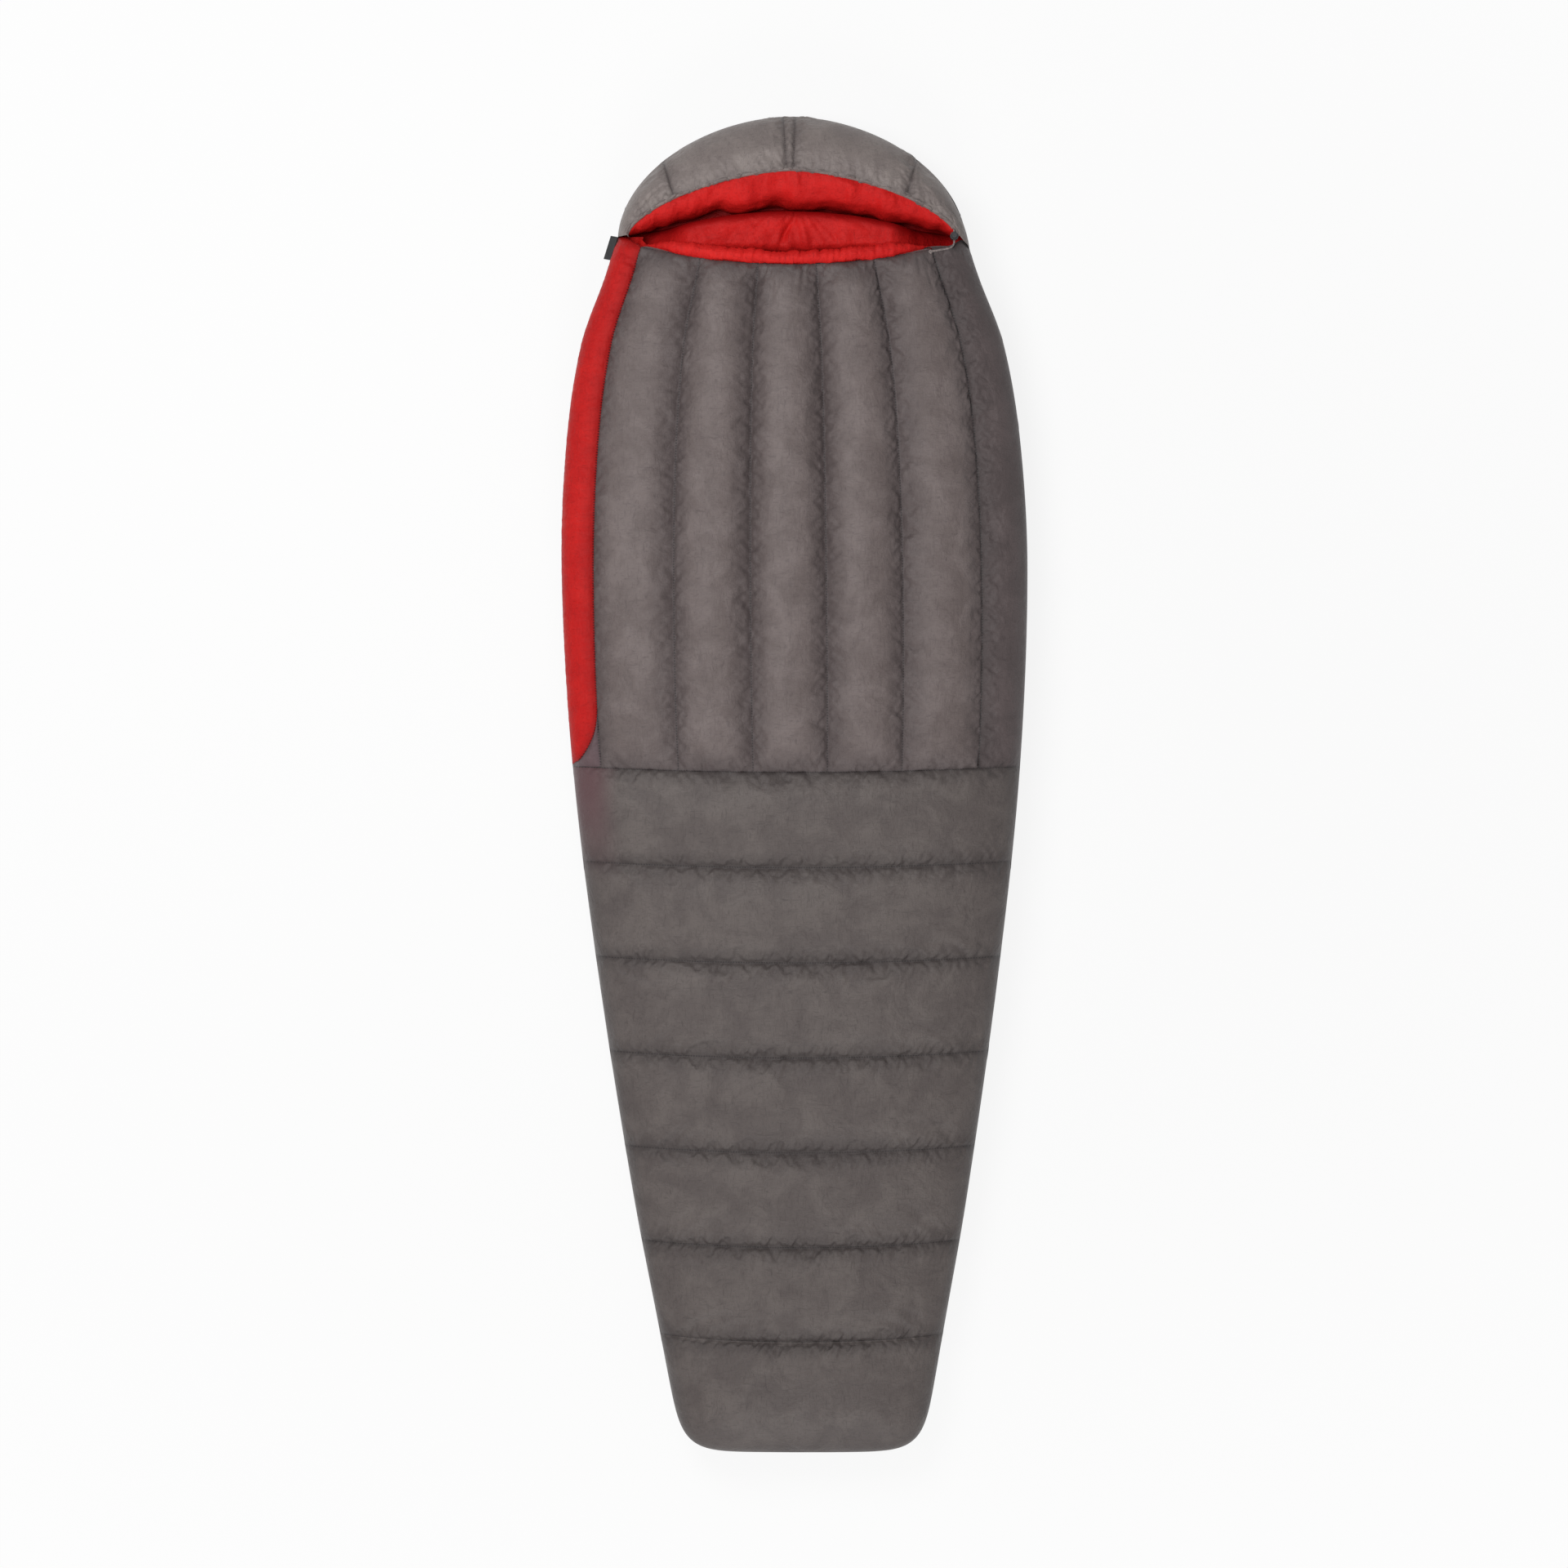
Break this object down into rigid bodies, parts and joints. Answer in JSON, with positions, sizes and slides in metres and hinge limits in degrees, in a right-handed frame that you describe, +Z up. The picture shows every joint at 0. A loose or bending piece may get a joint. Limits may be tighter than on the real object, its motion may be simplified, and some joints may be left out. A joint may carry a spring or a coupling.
{
  "type": "mummy sleeping bag",
  "caption": "Quilted down mummy sleeping bag lying zipped up, with lengthwise chest chambers, cross rows over the legs, a cinched hood, red lining and a side zip whose flap folds open.",
  "frame": {"origin": "centre of the footprint, on the floor the bag lies on", "axes": "+Y runs from the foot to the hood, +Z is up from the floor, +X is the side away from the zip"},
  "size_m": [0.7309, 2.1, 0.166],
  "materials": {
    "shell_nylon": "satin",
    "panel_nylon": "satin",
    "lining_nylon": "satin",
    "baffle_mesh": "matte",
    "zip_tape": "matte",
    "zip_coil": "satin",
    "zip_metal": "satin",
    "tab_webbing": "matte",
    "drawcord": "matte",
    "lock_plastic": "satin",
    "spring_steel": "satin"
  },
  "bodies": {
    "bag": {"chest_tube_1_lower": "shell_nylon", "chest_tube_2_lower": "shell_nylon", "chest_tube_3_lower": "shell_nylon", "chest_tube_4_lower": "shell_nylon", "chest_tube_5_lower": "shell_nylon", "right_side_panel": "shell_nylon", "zip_end_gusset": "shell_nylon", "chest_baffles_lower": "baffle_mesh", "chest_lining_lower": "lining_nylon", "leg_row_1": "shell_nylon", "leg_row_2": "shell_nylon", "leg_row_3": "shell_nylon", "leg_row_4": "shell_nylon", "leg_row_5": "shell_nylon", "leg_row_6": "shell_nylon", "foot_row": "shell_nylon", "leg_baffles": "baffle_mesh", "leg_lining": "lining_nylon", "foot_lining": "lining_nylon", "back_torso_rows": "shell_nylon", "back_leg_rows": "shell_nylon", "back_baffles": "baffle_mesh", "back_lining": "lining_nylon", "hood_crown_left_end": "shell_nylon", "hood_crown_left": "shell_nylon", "hood_crown_strip": "shell_nylon", "hood_crown_right": "shell_nylon", "hood_crown_right_end": "shell_nylon", "hood_crown_lining": "lining_nylon", "head_pad_lower": "shell_nylon", "head_pad_upper": "shell_nylon", "head_lining": "lining_nylon", "hood_hem": "shell_nylon", "hood_drawcord": "drawcord", "drawcord_tail": "drawcord", "cord_lock_body": "lock_plastic", "cord_lock_spring": "spring_steel", "zip_tape_lower": "zip_tape", "zip_coil_lower": "zip_coil", "zip_bottom_stop": "zip_coil"},
    "flap": {"zip_side_panel": "panel_nylon", "chest_tube_1_upper": "shell_nylon", "chest_tube_2_upper": "shell_nylon", "chest_tube_3_upper": "shell_nylon", "chest_tube_4_upper": "shell_nylon", "chest_tube_5_upper": "shell_nylon", "chest_baffles_upper": "baffle_mesh", "chest_lining_upper": "lining_nylon", "neck_draught_tube": "lining_nylon", "zip_draught_tube": "lining_nylon", "zip_tape_upper": "zip_tape", "zip_coil_upper": "zip_coil"},
    "slider": {"zip_slider": "zip_metal"},
    "pull": {"zip_pull": "zip_metal"},
    "guard_tab": {"zip_guard_tab": "tab_webbing"},
    "plunger": {"cord_lock_plunger": "lock_plastic"}
  },
  "joints": [
    {"name": "flap_fold", "type": "hinge", "parent": "bag", "child": "flap", "pos_m": [-0.35004, 0.0483, 0.167], "axis": [0.6088, 0.7933, 0], "range_deg": [0, 140]},
    {"name": "zip_travel", "type": "hinge", "parent": "bag", "child": "slider", "pos_m": [1.53542, 0.29452, 0.07802], "axis": [0, 0, 1], "range_deg": [0, 22.5]},
    {"name": "pull_swing", "type": "hinge", "parent": "slider", "child": "pull", "pos_m": [-0.29097, 0.80956, 0.07802], "axis": [0, 0, -1], "range_deg": [0, 100]},
    {"name": "guard_tab_peel", "type": "hinge", "parent": "bag", "child": "guard_tab", "pos_m": [-0.2779, 0.85815, 0.08502], "axis": [-0.5613, 0.1744, -0.809], "range_deg": [0, 150]},
    {"name": "cord_lock_press", "type": "slide", "parent": "bag", "child": "plunger", "axis": [0, 0, -1], "range_m": [0, 0.003], "stiffness_N_per_m": 400, "deforming": ["cord_lock_spring"]}
  ],
  "couplings": [
    {"joint": "zip_travel", "follows": "flap_fold", "ratio": 0.16074}
  ]
}
